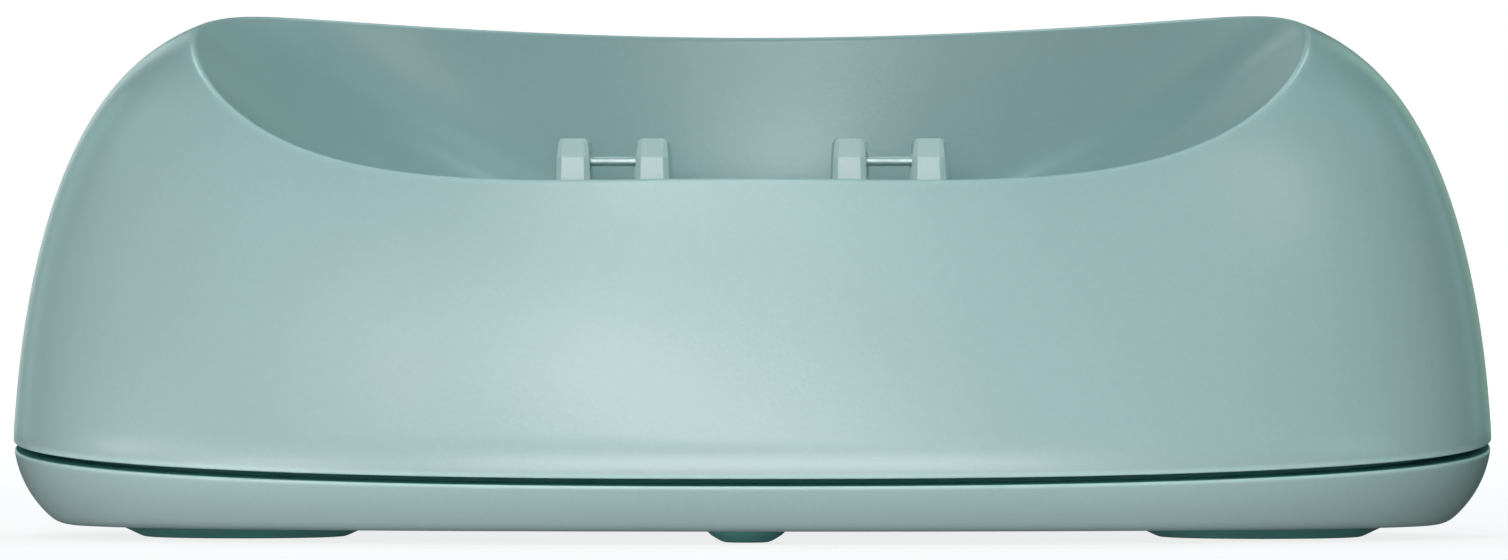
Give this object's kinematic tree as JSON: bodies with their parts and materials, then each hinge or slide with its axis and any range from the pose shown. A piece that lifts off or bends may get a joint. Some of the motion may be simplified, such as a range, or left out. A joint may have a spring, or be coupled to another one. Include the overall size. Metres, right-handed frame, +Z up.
{
  "type": "charging cradle",
  "caption": "Oval bathroom charging cradle with a dished seat, a tilted seam over a shallow tray, and sprung wire contacts held between small posts that the handset presses down.",
  "frame": {"origin": "centre of the bounding box's bottom face, on the surface the cradle stands on", "axes": "+X along the long side to the right, +Y to the back, +Z up; the low lip of the seat faces -Y"},
  "size_m": [0.11, 0.0576, 0.0389],
  "materials": {
    "shell_plastic": "satin moulded ABS, sage green, very fine even texture",
    "tray_plastic": "satin moulded ABS, sage green",
    "block_plastic": "satin moulded plastic, sage green",
    "contact_steel": "nickel-plated spring wire, bright",
    "brass": "plain brass",
    "board_laminate": "green glass-epoxy laminate",
    "black_component": "black moulded plastic",
    "capacitor_can": "aluminium can",
    "inlet_steel": "plated sheet steel",
    "ballast_steel": "plain steel plate",
    "foot_rubber": "dark teal rubber, matt",
    "screw_steel": "zinc-plated steel"
  },
  "bodies": {
    "base": {"upper_shell": "shell_plastic", "lower_tray": "tray_plastic", "contact_block_left": "block_plastic", "contact_block_right": "block_plastic", "contact_spring_left": "contact_steel", "contact_spring_right": "contact_steel", "contact_pad_left": "brass", "contact_pad_right": "brass", "circuit_board": "board_laminate", "regulator_chip": "black_component", "charge_controller_chip": "black_component", "capacitor": "capacitor_can", "inductor": "black_component", "inlet_shell": "inlet_steel", "inlet_insulator": "black_component", "ballast_plate": "ballast_steel", "foot_pad_left": "foot_rubber", "foot_pad_right": "foot_rubber", "foot_nub_front": "foot_rubber", "foot_nub_rear": "foot_rubber", "case_screw_1": "screw_steel", "case_screw_2": "screw_steel", "case_screw_3": "screw_steel", "case_screw_4": "screw_steel", "block_screw_1": "screw_steel", "block_screw_2": "screw_steel", "block_screw_3": "screw_steel", "block_screw_4": "screw_steel", "board_screw_left": "screw_steel", "board_screw_right": "screw_steel"},
    "contact_left": {"contact_wire_left": "contact_steel", "contact_carrier_left": "brass"},
    "contact_right": {"contact_wire_right": "contact_steel", "contact_carrier_right": "brass"}
  },
  "joints": [
    {"name": "contact_left_press", "type": "slide", "parent": "base", "child": "contact_left", "axis": [0, 0, 1], "range_m": [-0.0012, 0], "stiffness_N_per_m": 600, "springref_m": 0.0006, "deforming": ["contact_spring_left"]},
    {"name": "contact_right_press", "type": "slide", "parent": "base", "child": "contact_right", "axis": [0, 0, 1], "range_m": [-0.0012, 0], "stiffness_N_per_m": 600, "springref_m": 0.0006, "deforming": ["contact_spring_right"]}
  ]
}
